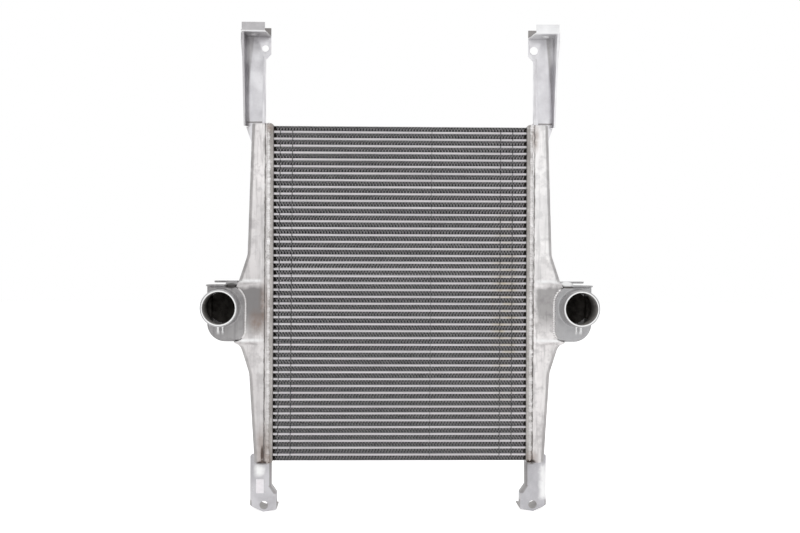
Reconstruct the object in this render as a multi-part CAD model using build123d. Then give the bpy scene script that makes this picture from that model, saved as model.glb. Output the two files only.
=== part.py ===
from build123d import *
import math
import os

# Charge-air cooler of a heavy truck. A brazed core of flat tubes and corrugated fins stands between two
# slotted header plates. Each header carries a cast tank, and each tank an outlet elbow with a hose stub,
# an upper bracket with a tray, and a lower bracket. All sizes are in millimetres.
# X runs across, Z up, and the front faces -Y. Heights are counted from the core's centre and depths from
# the seat plane, where the brackets' webs lie on the tanks' rear faces. Only the last step moves the
# pieces, so that the origin lies in that plane, midway between the two lower bolt holes.
# Each side is drawn on +X and mirrored for the left.

overshoot = 1.0  # by which a cutter passes the face that it opens
flat = 0.01  # an edge or face no deeper than this counts as flat

# Core
tube_count = 48
tube_height = 7.2
tube_depth = 62.0
tube_wall = 0.9
tube_nose_wall = 2.6
tube_projection = 3.0  # past the header plate, into the tank
fin_height = 10.5
fin_depth = 58.0
fin_sheet = 0.6
fin_waves = 4  # folds of one row, which the real strip has far finer
fin_end_gap = 6.0  # open corner between a row's last fold and the header
core_width = 653.0  # between the two header faces
side_sheet = 1.0

# Header plates
header_depth = 70.0
header_overhang = 6.5  # above the top side sheet and below the bottom one
header_plate = 3.5
header_rim_length = 15.8
header_rim = 3.5
header_corner = 9.0
header_edge = 3.0

# Tanks
tank_wall = 4.0
tank_edge = 9.0  # bevel along the outer wall, front and rear
tank_top_reach = 41.1  # from the seam to the outer wall
tank_bottom_reach = 32.0
upper_taper_reach = 51.5
upper_taper_height = 99.0
lower_taper_reach = 46.7
lower_taper_depth = 206.0
taper_bend = 50.0
flare_reach = 65.5  # where the lower flare begins to curl outwards
flare_depth = 147.0
neck_lip = 29.5  # how far the lower flare runs out under the elbow
neck_lip_drop = 4.0
neck_lip_rise = 10.0
neck_brow = 25.7  # where the upper flare meets the elbow's round corner
neck_brow_drop = 9.0
neck_rise = 12.0  # the neck's front swells forward by this much
neck_start = 8.0
neck_slope = 9.0

# Outlet elbows
elbow_offset = 54.7  # from the seam to the elbow's inner side
elbow_width = 98.0
elbow_top = 20.0
elbow_height = 144.0
elbow_wall = 5.0
elbow_edge = 6.0
elbow_inner_top = 45.0
elbow_inner_bottom = 30.0
elbow_outer_bottom = 47.0
elbow_outer_top = 6.0
window_margin = 5.0
stub_radius = 47.5
stub_bore = 41.0
stub_length = 60.0
stub_offset = 61.5  # axis, from the elbow's inner side
stub_drop = 57.0  # axis, below the elbow's top
stub_back = 7.0  # between the elbow's rear and the stub's own rear end
stub_bevel = 22.0
collar_radius = 48.5
collar_length = 5.0  # in front of the elbow
flange_thickness = 4.0
flange_overhang = 2.5
flange_start = 45.0
lug_thickness = 5.0
lug_gap = 7.0
lug_start = 20.0
lug_root = 24.0
lug_length = 63.0
lug_depth = 42.0
lug_setback = 6.0
boss_radius = 16.0
boss_height = 12.0
boss_offset = 36.0
boss_depth = 62.0
boss_tilt = 22.0
rib_height = 30.0
rib_proud = 3.5
rib_drop = 104.0
rib_near_offset = 57.5
rib_near_width = 5.0
rib_far_offset = 69.0
rib_far_width = 7.0

# Weld beads
bead_width = 7.4
bead_proud = 2.2
bead_bevel = 1.6
elbow_bead_width = 6.0
elbow_bead_proud = 2.0
elbow_bead_root = 3.0
elbow_bead_end = 6.0  # clear of the elbow's top and bottom
elbow_bead_reach = 20.0
fillet_leg = 5.0
bead_fullness = 0.6

# Upper brackets
bracket_sheet = 5.0
upper_offset = 10.5  # from the seam to the web's inner edge
upper_width = 56.6
upper_height = 235.1  # from the tank's top to the tray
upper_bend_foot = 10.0
upper_bend_head = 23.0
bend_flats = 5
outer_flange_foot = 16.0
outer_flange_head = 78.0
inner_flange_foot = 58.0
inner_flange_head = 22.0
inner_flange_end = 58.0  # below the tray
upper_lap = 46.0
upper_lap_width = 36.2
upper_lap_drop = 2.0
upper_tab = 13.3
upper_tab_height = 45.3
upper_tab_slope = 14.0
upper_hole_drop = 30.1
upper_hole_left = 9.0
upper_hole_right = 11.0
upper_hole_offset = 12.3  # from the seam, as the lower one
lip_width = 3.0  # of the return below the tray's hook
lip_height = 85.0

# Trays on the upper brackets
tray_sheet = 4.0
tray_wall = 23.5
tray_front_setback = 2.8
tray_rear_setback = 13.3
tray_hook = 20.0
tray_hook_sheet = 2.0
tray_hole = 10.0
tray_hole_offset = 38.0
tray_hole_depth = 33.0

# Lower brackets
lower_offset = -6.5
lower_width = 55.9
lower_gap = 5.5  # between the header's end and the wide part of the web
lower_waist = 69.9
lower_shoulder = 90.2
lower_tab = 14.1
lower_toe = 132.9
lower_tip = 138.4
lower_tip_offset = 34.3
lower_heel = 122.4
lower_lap = 14.0
lower_lap_inset = 14.2
lower_ear_drop = 7.5
lower_ear_chamfer = 9.0
lower_bend = 10.0
lower_rim_depth = 36.0
lower_shelf_depth = 90.0
lower_hole = 11.0
lower_hole_offset = 12.3
lower_hole_drop = 121.1

# Worked out from the above
pitch = tube_height + fin_height
stack = tube_count * pitch + fin_height
core_half = core_width / 2
half_height = stack / 2 + side_sheet + header_overhang
core_y = -header_depth / 2
seam_x = core_half + header_rim_length
elbow_x = seam_x + elbow_offset
elbow_right = elbow_x + elbow_width
elbow_bottom = elbow_top - elbow_height
elbow_front = -header_depth - neck_rise
stub_x = elbow_x + stub_offset
stub_z = elbow_top - stub_drop
mouth_y = elbow_front - stub_length
collar_y = elbow_front - collar_length
tank_inner_edge = tank_edge - (2 - math.sqrt(2)) * tank_wall  # keeps the wall as thick at the bevel
upper_left = seam_x + upper_offset
upper_right = upper_left + upper_width
tray_z = half_height + upper_height
lower_left = seam_x + lower_offset
lower_right = lower_left + lower_width
bolt_x = seam_x + lower_hole_offset
bolt_z = -half_height - lower_hole_drop


def outline(*points):
    return make_face(Polyline(*points, close=True))


def slab(face, rear, front):
    # An X-Z outline made solid between two depths.
    return Pos(0, rear, 0) * extrude(Plane.XZ * face, amount=rear - front)


def column(face, low, high):
    # An X-Y section made solid between two heights.
    return Pos(0, 0, low) * extrude(face, amount=high - low)


def bar(face, start, end):
    # A Y-Z section made solid from one X to another.
    return Pos(start, 0, 0) * extrude(Plane.YZ * face, amount=end - start)


def block(x, y, z):
    # A box between the two values given for each axis.
    size = [abs(b - a) for a, b in (x, y, z)]
    return Pos(*[(a + b) / 2 for a, b in (x, y, z)]) * Box(*size)


def hole(x, z, radius):
    # A cutter along Y, long enough for any plate.
    return Pos(x, 0, z) * Rot(90, 0, 0) * Cylinder(radius, 4 * header_depth)


# Core

def tube_heights():
    return [-stack / 2 + fin_height + tube_height / 2 + n * pitch for n in range(tube_count)]


def fin_heights():
    return [-stack / 2 + fin_height / 2 + n * pitch for n in range(tube_count + 1)]


def charge_tube():
    # A flat tube, open at both ends, with the thicker nose walls that stone chips ask for.
    half = core_half + header_plate + tube_projection
    bore = Rectangle(tube_depth - 2 * tube_nose_wall, tube_height - 2 * tube_wall)
    return Pos(0, core_y, 0) * bar(Rectangle(tube_depth, tube_height) - bore, -half, half)


def air_fin():
    # One corrugated strip, whose folds touch the tubes above and below.
    half = core_half - fin_end_gap
    legs = 2 * fin_waves
    step = 2 * half / legs
    rise = fin_height
    thick = fin_sheet * math.hypot(step, rise) / step
    folds = [(-half + n * step, (-rise / 2, rise / 2 - thick)[n % 2]) for n in range(legs + 1)]
    upper = [(x, z + thick) for x, z in reversed(folds)]
    return slab(outline(*folds, *upper), core_y + fin_depth / 2, core_y - fin_depth / 2)


def side_sheets():
    y = (core_y - tube_depth / 2, core_y + tube_depth / 2)
    top = block((-core_half, core_half), y, (stack / 2, stack / 2 + side_sheet))
    return {"side_sheet_top": top, "side_sheet_bottom": mirror(top, about=Plane.XY)}


# Header plates

def header():
    # A pressed pan: its floor takes the tubes, and its rim meets the tank.
    face = outline((core_half, -half_height), (seam_x, -half_height),
                   (seam_x, half_height), (core_half, half_height))
    face = fillet(face.vertices().group_by(Axis.X)[0], header_corner)
    pan = slab(face, 0, -header_depth)
    long_edges = pan.edges().filter_by(Axis.Z).group_by(Axis.X)[0]
    pan = chamfer(long_edges, header_edge)
    rim_y = (-header_rim, -header_depth + header_rim)
    rim_z = (-half_height + header_rim, half_height - header_rim)
    pan -= block((core_half + header_plate, seam_x + overshoot), rim_y, rim_z)
    slot_x = (core_half - overshoot, core_half + header_plate + overshoot)
    slot = Pos(0, core_y, 0) * bar(Rectangle(tube_depth, tube_height), *slot_x)
    return pan - [Pos(0, 0, z) * slot for z in tube_heights()]


# Tanks

def tank_face(start):
    # The tank's front outline from a given X: slim at both ends, flaring to the neck at mid height.
    top = (seam_x + tank_top_reach, half_height)
    upper = (seam_x + upper_taper_reach, upper_taper_height)
    high = (elbow_x + neck_brow, elbow_top - neck_brow_drop)
    low = (elbow_x + neck_lip, elbow_bottom + neck_lip_rise)
    foot = (elbow_x + neck_lip, elbow_bottom - neck_lip_drop)
    curl = (seam_x + flare_reach, -flare_depth)
    lower = (seam_x + lower_taper_reach, -lower_taper_depth)
    bottom = (seam_x + tank_bottom_reach, -half_height)
    flare = (curl[0] - lower[0], curl[1] - lower[1])
    edges = [
        Line((start, half_height), (start, -half_height)),
        Line((start, -half_height), bottom),
        Line(bottom, lower),
        Line(lower, curl),
        TangentArc(curl, foot, tangent=flare),
        Line(foot, low),
        Line(low, high),
        Line(high, upper),
        Line(upper, top),
        Line(top, (start, half_height)),
    ]
    face = make_face(edges)
    bends = [face.vertices().sort_by_distance((*corner, 0))[0] for corner in (upper, lower)]
    return fillet(bends, taper_bend)


def neck_swell(start, front, margin):
    # The wedge by which the neck's front stands forward, less a margin for its inside.
    run = (seam_x + neck_start, elbow_x)
    plan = outline((run[0], -header_depth + margin), (run[1], front + margin),
                   (elbow_right, front + margin), (elbow_right, core_y), (run[0], core_y))
    top = elbow_top + neck_slope - margin
    bottom = elbow_bottom - neck_slope + margin
    depth = -header_depth + margin
    profile = outline((core_y, top), (depth, top), (front + margin, top - neck_slope),
                      (front + margin, bottom + neck_slope), (depth, bottom), (core_y, bottom))
    swell = column(plan, elbow_bottom - 2 * neck_slope, elbow_top + 2 * neck_slope)
    return swell & bar(profile, start, elbow_right) & slab(tank_face(start), 0, front)


def outer_rims(shell):
    # The front and rear edges along a tank's outer wall.
    rims = shell.edges().filter_by(lambda e: e.bounding_box().size.Y < flat)
    return rims.filter_by(lambda e: e.center().X > seam_x + overshoot and e.bounding_box().size.Z > overshoot)


def tank():
    shell = slab(tank_face(seam_x), 0, -header_depth)
    shell = chamfer(outer_rims(shell), tank_edge) + neck_swell(seam_x, elbow_front, 0)
    inside = offset(tank_face(seam_x - tank_wall), -tank_wall)
    hollow = slab(inside, -tank_wall, -header_depth + tank_wall)
    hollow = chamfer(outer_rims(hollow), tank_inner_edge)
    hollow += neck_swell(seam_x, elbow_front, tank_wall) & slab(inside, -tank_wall, elbow_front)
    return shell - hollow - slab(elbow_face(), overshoot, elbow_front - overshoot)


# Outlet elbows

def elbow_block(left):
    # The elbow's front outline with its outer corners round, from a given X.
    face = outline((left, elbow_bottom), (elbow_right, elbow_bottom),
                   (elbow_right, elbow_top), (left, elbow_top))
    corners = face.vertices().group_by(Axis.X)[-1].sort_by(Axis.Y)
    face = fillet(corners[0], elbow_outer_bottom)
    corners = face.vertices().group_by(Axis.X)[-1].sort_by(Axis.Y)
    return fillet(corners[-1], elbow_outer_top)


def elbow_face():
    # The same outline with the inner corners round too, which is the seam with the tank.
    face = elbow_block(elbow_x)
    corners = face.vertices().group_by(Axis.X)[0].sort_by(Axis.Y)
    face = fillet(corners[0], elbow_inner_bottom)
    corners = face.vertices().group_by(Axis.X)[0].sort_by(Axis.Y)
    return fillet(corners[-1], elbow_inner_top)


def elbow_body():
    block_left = elbow_x - elbow_width
    body = slab(elbow_block(block_left), 0, elbow_front)
    rims = body.edges().filter_by(lambda e: e.bounding_box().size.Y < flat)
    rims = rims.filter_by(lambda e: e.center().X > block_left + overshoot)
    return chamfer(rims, elbow_edge) & slab(elbow_face(), 0, elbow_front)


def stub_outside():
    # The hose stub, and the collar behind it, which bulges from the elbow's outer side to a bevelled rear.
    rear = -stub_back
    section = outline((0, rear), (collar_radius - stub_bevel, rear), (collar_radius, rear - stub_bevel),
                      (collar_radius, collar_y), (stub_radius, collar_y),
                      (stub_radius, mouth_y), (0, mouth_y))
    return Pos(stub_x, 0, stub_z) * revolve(section, Axis.Y, 360)


def stub_inside():
    rear, mouth = -stub_back - stub_bevel, mouth_y - overshoot
    return Pos(stub_x, (rear + mouth) / 2, stub_z) * Rot(90, 0, 0) * Cylinder(stub_bore, rear - mouth)


def boss():
    # The round boss on the elbow's front shoulder, leaning forward.
    seat = Pos(elbow_x + boss_offset, -boss_depth, elbow_top - boss_radius / 2) * Rot(boss_tilt, 0, 0)
    height = boss_radius / 2 + boss_height
    return seat * Pos(0, 0, height / 2) * Cylinder(boss_radius, height)


def elbow_fittings():
    # The top flange, the overhanging lug behind it, and the two short ribs under the stub.
    right = elbow_right + flange_overhang
    flange = block((elbow_x + flange_start, right), (-elbow_edge, elbow_front - flange_overhang),
                   (elbow_top - flange_thickness / 2, elbow_top + flange_thickness / 2))
    lug_x = elbow_x + lug_start
    lug_y = (-lug_setback, -lug_setback - lug_depth)
    lug_z = elbow_top + lug_gap
    lug = block((lug_x, lug_x + lug_length), lug_y, (lug_z, lug_z + lug_thickness))
    root = block((lug_x, lug_x + lug_root), lug_y, (elbow_top - elbow_wall, lug_z))
    ribs = [
        block((elbow_x + offset_x - width / 2, elbow_x + offset_x + width / 2),
              (elbow_front + elbow_wall, elbow_front - rib_proud),
              (elbow_top - rib_drop - rib_height / 2, elbow_top - rib_drop + rib_height / 2))
        for offset_x, width in ((rib_near_offset, rib_near_width), (rib_far_offset, rib_far_width))
    ]
    return [flange, lug, root, *ribs]


def elbow():
    body = elbow_body() + stub_outside() + elbow_fittings() + boss()
    cavity = slab(offset(elbow_face(), -elbow_wall), -elbow_wall, elbow_front + elbow_wall)
    window = block((elbow_x - overshoot, elbow_x + elbow_wall + overshoot),
                   (-elbow_wall - window_margin, elbow_front + elbow_wall + window_margin),
                   (elbow_bottom + elbow_inner_bottom + window_margin,
                    elbow_top - elbow_inner_top - window_margin))
    body = body - cavity - window - stub_inside()
    return body - tank_envelope()


def tank_envelope():
    # Keeps the elbow's lug and boss out of the tank's own space.
    face = tank_face(seam_x) - elbow_face()
    return slab(face, 0, elbow_front)


# Weld beads

def header_bead():
    # A bevelled ring around the seam between header rim and tank.
    opening = Rectangle(header_depth, 2 * half_height)
    ring = offset(opening, bead_proud, kind=Kind.INTERSECTION)
    bead = bar(ring, seam_x - bead_width / 2, seam_x + bead_width / 2)
    outer = bead.edges().filter_by(lambda e: e.bounding_box().size.X < 0.01)
    bead = chamfer(outer, bead_bevel) - bar(opening, seam_x - bead_width, seam_x + bead_width)
    return Pos(0, core_y, 0) * bead


def seam_corner(radius, z, z_way, gap):
    # One corner of the elbow's seam in flats, moved outwards by a gap.
    turns = [math.radians(90 * n / bend_flats) for n in range(bend_flats + 1)]
    centre = (elbow_x + radius, z - z_way * radius)
    reach = radius + gap
    x, z = centre
    return [(x - math.cos(turn) * reach, z + z_way * math.sin(turn) * reach) for turn in turns]


def seam_line(gap):
    # The seam from its upper end to its lower end.
    high = seam_corner(elbow_inner_top, elbow_top, 1, gap)
    return high[::-1] + seam_corner(elbow_inner_bottom, elbow_bottom, -1, gap)


def elbow_beads():
    # The bead that follows the seam between tank and elbow, on the front and on the rear.
    gap = elbow_bead_width / 2
    low, high, right = elbow_bottom + elbow_bead_end, elbow_top - elbow_bead_end, elbow_x + elbow_bead_reach
    band = outline(*seam_line(gap), *seam_line(-gap)[::-1])
    band &= outline((seam_x, low), (right, low), (right, high), (seam_x, high))
    front = slab(band, elbow_front + elbow_bead_root, elbow_front - elbow_bead_proud)
    rear = slab(band, elbow_bead_proud, 0)
    return [front, rear]


# Upper brackets

def channel_points(inner_reach, outer_reach, bend):
    # A plan section: web, square inner flange and bent outer flange, both forward. The bend is bumped
    # in flats, as its radius grows towards the tray.
    sheet = bracket_sheet
    left, right = upper_left, upper_right
    centre = (right - sheet - bend, -bend)
    turns = [math.radians(90 * n / bend_flats) for n in range(bend_flats + 1)]
    arc = [(math.sin(turn), math.cos(turn)) for turn in turns]
    outer = [(centre[0] + x * (bend + sheet), centre[1] + y * (bend + sheet)) for x, y in arc]
    inner = [(centre[0] + x * bend, centre[1] + y * bend) for x, y in reversed(arc)]
    return [(left, -inner_reach), (left, sheet), *outer, (right, -outer_reach), (right - sheet, -outer_reach),
            *inner, (left + sheet, 0), (left + sheet, -inner_reach)]


def tapered(foot, foot_z, head, head_z):
    # A solid of flat faces between two level outlines with as many points, whose sides stay parallel.
    low = [Vector(x, y, foot_z) for x, y in foot]
    high = [Vector(x, y, head_z) for x, y in head]
    count = len(low)
    rings = [low, high]
    for n in range(count):
        after = (n + 1) % count
        rings.append([low[n], low[after], high[after], high[n]])
    return Solid(Shell([Face(Wire.make_polygon(ring, close=True)) for ring in rings]))


def bracket_lip():
    # The return along the outer flange's front edge, widest under the tray's hook and running out below.
    slope = (outer_flange_head - outer_flange_foot) / upper_height
    top, foot = tray_hook, tray_hook + lip_height
    edge = [(slope * drop - outer_flange_head, tray_z - drop) for drop in (top, foot)]
    strip = outline(*edge, *[(y + bracket_sheet, z) for y, z in reversed(edge)])
    taper = outline((upper_right - lip_width, tray_z - top), (upper_right + lip_width, tray_z - top),
                    (upper_right - lip_width, tray_z - foot))
    band = bar(strip, upper_right - lip_width, upper_right + lip_width)
    return band & slab(taper, 0, -outer_flange_head)


def upper_bracket(hole_radius):
    foot = channel_points(inner_flange_foot, outer_flange_foot, upper_bend_foot)
    head = channel_points(inner_flange_head, outer_flange_head, upper_bend_head)
    body = tapered(foot, half_height, head, tray_z)
    end = tray_z - inner_flange_end
    cut = upper_left - overshoot, upper_left + bracket_sheet + overshoot
    body -= block(cut, (0, -inner_flange_foot), (end, tray_z + overshoot))
    low = tray_z - upper_tab_height
    tab = outline((upper_left, tray_z), (upper_left - upper_tab, tray_z), (upper_left - upper_tab, low),
                  (upper_left, low - upper_tab_slope))
    inner, outer = upper_right - bracket_sheet - upper_bend_foot, upper_right - bracket_sheet
    lap = outline((upper_left, half_height), (upper_left, half_height - upper_lap),
                  (upper_left + upper_lap_width, half_height - upper_lap),
                  (outer, half_height - upper_lap_drop), (inner, half_height))
    body += slab(tab, bracket_sheet, 0) + slab(lap, bracket_sheet, 0) + bracket_lip()
    return body - hole(seam_x + upper_hole_offset, tray_z - upper_hole_drop, hole_radius)


def tray():
    # A channel lying on the bracket's head: floor, front and rear walls, and an outer end hooked down.
    right = upper_right
    front, rear = -outer_flange_head, bracket_sheet
    near, far = upper_left - tray_front_setback, upper_left - tray_rear_setback
    floor = outline((near, front), (right, front), (right, rear), (far, rear), (near, front + tray_sheet))
    body = column(floor, tray_z, tray_z + tray_sheet)
    body += block((near, right), (front, front + tray_sheet), (tray_z, tray_z + tray_wall))
    body += block((far, right), (rear - tray_sheet, rear), (tray_z, tray_z + tray_wall))
    body += block((right, right + tray_hook_sheet), (front, rear), (tray_z - tray_hook, tray_z + tray_sheet))
    drill = Pos(seam_x + tray_hole_offset, -tray_hole_depth, tray_z) * Cylinder(tray_hole, 4 * tray_sheet)
    return body - drill


# Lower brackets

def lower_points():
    wide = half_height + lower_gap
    tab = lower_left - lower_tab
    heel = (lower_right, -half_height - lower_heel)
    tip = (lower_left - lower_tab + lower_tip_offset, -half_height - lower_tip)
    toe = (tab, -half_height - lower_toe)
    top = -half_height + lower_lap
    rim = [(lower_left, -wide), (lower_left, -half_height - lower_waist),
           (tab, -half_height - lower_shoulder), toe]
    ear = [(lower_right, top - lower_ear_drop), (lower_right - lower_ear_chamfer, top),
           (lower_left + lower_lap_inset, top), (lower_left + lower_lap_inset, -wide)]
    return rim, [toe, tip, heel], ear


def lower_channel():
    # A plan section: flat web, and an outer flange bent rearward with a round edge.
    sheet, bend = bracket_sheet, lower_bend
    right = lower_right
    left = lower_left - lower_tab
    return make_face([
        Polyline((left, 0), (right - sheet - bend, 0)),
        TangentArc((right - sheet - bend, 0), (right, sheet + bend), tangent=(1, 0)),
        Polyline((right, sheet + bend), (right, lower_rim_depth), (right - sheet, lower_rim_depth),
                 (right - sheet, sheet + bend)),
        TangentArc((right - sheet, sheet + bend), (right - sheet - bend, sheet), tangent=(0, -1)),
        Polyline((right - sheet - bend, sheet), (left, sheet), (left, 0)),
    ])


def lower_envelope():
    # Everything inside the round outer edge, for trimming the sole to it.
    bend = lower_bend + bracket_sheet
    left, right = lower_left - lower_tab, lower_right
    face = outline((left, 0), (right, 0), (right, lower_shelf_depth), (left, lower_shelf_depth))
    corner = face.vertices().group_by(Axis.X)[-1].sort_by(Axis.Y)[0]
    return column(fillet(corner, bend), -half_height - lower_tip, 0)


def lower_bracket():
    # A pressed pan, open at the rear and the top, with a long shelf along its sole.
    sheet = bracket_sheet
    rim, sole, ear = lower_points()
    face = outline(*rim, *sole[1:], *ear)
    inner = outline(*rim, *[(x + sheet, z) for x, z in reversed(rim)])
    shelf = outline(*sole, *[(x, z + sheet) for x, z in reversed(sole)])
    body = column(lower_channel(), -half_height - lower_tip, 0) & slab(face, lower_rim_depth, 0)
    body += slab(inner & face, lower_rim_depth, 0) + slab(shelf, lower_shelf_depth, 0) & lower_envelope()
    return body - hole(bolt_x, bolt_z, lower_hole)


# Bracket welds

def corner_bead(y_way, z_way):
    # The slightly full Y-Z section of a bead in a corner at the origin.
    leg, full = fillet_leg, fillet_leg * bead_fullness
    return outline((0, 0), (y_way * leg, 0), (y_way * full, z_way * full), (0, z_way * leg))


def upper_bead():
    # Along the web's front on the tank's end, and under the lap on the tank's rear.
    end = seam_x + tank_top_reach - tank_edge
    front = Pos(0, 0, half_height) * bar(corner_bead(-1, 1), upper_left + bracket_sheet, end)
    lap = half_height - upper_lap
    rear = Pos(0, 0, lap) * bar(corner_bead(1, -1), upper_left, end)
    return Compound([front, rear])


def lower_bead():
    left, end = lower_left + lower_lap_inset, seam_x + tank_bottom_reach - tank_edge
    front = Pos(0, 0, -half_height) * bar(corner_bead(-1, -1), left, end)
    rear = Pos(0, 0, -half_height + lower_lap) * bar(corner_bead(1, 1), left, end)
    return Compound([front, rear])


def seam_beads(neighbour, other):
    # What is left of the elbow's beads outside the pieces that they join.
    return Compound([solid for bead in elbow_beads() for solid in (bead - neighbour - other).solids()])


def sides(name, right, left=None):
    return {f"{name}_left": mirror(right if left is None else left, about=Plane.YZ), f"{name}_right": right}


def model():
    plate, case, outlet = header(), tank(), elbow()
    upper, lower = upper_bracket(upper_hole_right), lower_bracket()
    tube, fin = charge_tube(), air_fin()
    parts = {
        "charge_tubes": Compound([Pos(0, 0, z) * tube for z in tube_heights()]),
        "air_fins": Compound([Pos(0, 0, z) * fin for z in fin_heights()]),
    }
    parts |= side_sheets()
    parts |= sides("header_plate", plate) | sides("tank", case) | sides("elbow", outlet)
    parts |= sides("header_weld", header_bead())
    parts |= sides("elbow_weld", seam_beads(outlet, case))
    parts |= sides("upper_bracket", upper, upper_bracket(upper_hole_left)) | sides("upper_tray", tray())
    parts |= sides("lower_bracket", lower)
    parts |= sides("upper_weld", upper_bead()) | sides("lower_weld", lower_bead())
    return parts


os.makedirs("parts", exist_ok=True)
for name, piece in model().items():
    export_step(Pos(0, 0, -bolt_z) * piece, f"parts/{name}.step")
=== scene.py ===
import math

import bmesh
import bpy
from mathutils import Matrix, Vector


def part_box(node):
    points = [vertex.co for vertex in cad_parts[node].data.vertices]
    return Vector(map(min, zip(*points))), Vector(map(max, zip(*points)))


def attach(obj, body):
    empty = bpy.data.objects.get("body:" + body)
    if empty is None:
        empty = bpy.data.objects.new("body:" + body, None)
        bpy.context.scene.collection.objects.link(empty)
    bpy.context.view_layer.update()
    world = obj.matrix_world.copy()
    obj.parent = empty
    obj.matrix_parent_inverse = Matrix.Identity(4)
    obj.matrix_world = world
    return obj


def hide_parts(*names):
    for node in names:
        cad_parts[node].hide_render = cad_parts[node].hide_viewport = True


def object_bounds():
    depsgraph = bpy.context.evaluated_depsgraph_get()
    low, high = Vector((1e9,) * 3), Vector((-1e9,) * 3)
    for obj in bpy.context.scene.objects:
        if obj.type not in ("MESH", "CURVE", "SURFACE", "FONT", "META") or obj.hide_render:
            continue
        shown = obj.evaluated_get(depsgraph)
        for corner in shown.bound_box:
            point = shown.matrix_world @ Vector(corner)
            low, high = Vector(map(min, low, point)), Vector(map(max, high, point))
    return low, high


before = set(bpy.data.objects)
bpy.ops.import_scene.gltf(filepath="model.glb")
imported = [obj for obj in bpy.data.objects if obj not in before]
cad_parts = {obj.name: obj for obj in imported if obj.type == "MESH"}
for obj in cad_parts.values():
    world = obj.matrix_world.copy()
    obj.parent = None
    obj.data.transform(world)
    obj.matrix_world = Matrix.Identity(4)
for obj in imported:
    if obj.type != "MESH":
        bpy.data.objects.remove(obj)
cadBox = [list(corner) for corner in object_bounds()]
print("frame loaded:", len(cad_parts), "nodes")


# Node trees: every helper adds to the tree that was started last

working = {"tree": None}


def newMaterial(name, color):
    material = bpy.data.materials.new(name)
    material.use_nodes = True
    material.diffuse_color = (*color, 1)
    working["tree"] = material.node_tree
    return material, material.node_tree.nodes["Principled BSDF"]


def setInputs(node, values):
    # values go to input sockets by index or name, and may be the output of another node
    for key, value in values.items():
        socket = node.inputs[key]
        if isinstance(value, bpy.types.NodeSocket):
            working["tree"].links.new(value, socket)
        elif socket.type == "RGBA" and len(value) == 3:
            socket.default_value = (*value, 1)
        else:
            socket.default_value = value


def addNode(kind, values=None, **settings):
    node = working["tree"].nodes.new(kind)
    for key, value in settings.items():
        setattr(node, key, value)
    setInputs(node, values or {})
    return node


def output(kind, values=None, **settings):
    return addNode(kind, values, **settings).outputs[0]


def math2(operation, first, second=None):
    values = {0: first} if second is None else {0: first, 1: second}
    return output("ShaderNodeMath", values, operation=operation)


def plus(first, second):
    return math2("ADD", first, second)


def minus(first, second):
    return math2("SUBTRACT", first, second)


def product(*values):
    total = values[0]
    for value in values[1:]:
        total = math2("MULTIPLY", total, value)
    return total


def remap(value, low, high, toLow=0.0, toHigh=1.0):
    return output("ShaderNodeMapRange", {0: value, 1: low, 2: high, 3: toLow, 4: toHigh})


def paint(under, over, *masks):
    # lays one color over another where every mask is 1
    return addNode("ShaderNodeMix", {0: product(*masks), 6: under, 7: over}, data_type="RGBA").outputs[2]


def noise(vector, scale, detail=2.0, roughness=0.5):
    values = {"Vector": vector, "Scale": scale, "Detail": detail, "Roughness": roughness}
    return addNode("ShaderNodeTexNoise", values).outputs["Fac"]


def stretched(vector, scale):
    return output("ShaderNodeMapping", {"Vector": vector, "Scale": scale})


def newFinish(name, color):
    # a material with the object's own coordinates, to paint by
    material, shader = newMaterial(name, color)
    return material, shader, addNode("ShaderNodeTexCoord").outputs["Object"]


def split(place):
    return addNode("ShaderNodeSeparateXYZ", {0: place}).outputs


def sides(place):
    # distance from the middle, depth and height of a point
    parts = split(place)
    return math2("ABSOLUTE", parts[0]), parts[1], parts[2]


def length(place):
    return addNode("ShaderNodeVectorMath", {0: place}, operation="LENGTH").outputs["Value"]


def spot(vector, centre, size):
    # 1 at a centre and 0 outside an ellipsoid around it
    place = output("ShaderNodeMapping", {"Vector": vector, "Location": [-c / s for c, s in zip(centre, size)],
                                         "Scale": [1 / s for s in size]})
    return remap(length(place), 1.0, 0.25)


def rounded(radius):
    return output("ShaderNodeBevel", {"Radius": radius}, samples=4)


def bump(height, distance, strength=1.0, normal=None):
    values = {"Height": height, "Distance": distance, "Strength": strength}
    if normal is not None:
        values["Normal"] = normal
    return output("ShaderNodeBump", values)


def zone(value, low, high, fade):
    # 1 between low and high, with soft edges
    return product(remap(value, low - fade, low + fade), remap(value, high + fade, high - fade))


def blotch(place, scale, low, high, toLow=0.0, toHigh=1.0, detail=4.0):
    return remap(noise(place, scale, detail, 0.6), low, high, toLow, toHigh)


def finishMetal(shader, look, color, normal, roughness=None):
    setInputs(shader, {"Base Color": color, "Metallic": look["metallic"], "Normal": normal,
                       "Roughness": look["roughness"] if roughness is None else roughness})


def addObject(name, data):
    thing = bpy.data.objects.new(name, data)
    bpy.context.scene.collection.objects.link(thing)
    return thing


# Sizes shared by the finishes, in metres

mergeDistance = 1e-6
tubePitch = 0.0177
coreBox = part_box("charge_tubes")
coreMiddle = (coreBox[0][1] + coreBox[1][1]) / 2
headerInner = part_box("header_plate_right")[0][0]
# the hose stub: middle, front and collar, then radii, the mouth's chamfer, and how far daylight reaches in
stub = {"x": 0.4585, "z": 0.52165, "front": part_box("elbow_right")[0][1], "collar": -0.087, "outer": 0.0475,
        "sleeve": 0.049, "face": 0.044, "bore": 0.041, "slack": 0.0012, "lip": 0.0032, "mouth": 0.002,
        "litDepth": 0.088}
# the elbow's hollow, behind the lit bore wall
cavity = {"rear": -0.0035, "bulgeRear": -0.026, "bulgeStart": 0.4905}


# Metal finishes

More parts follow.
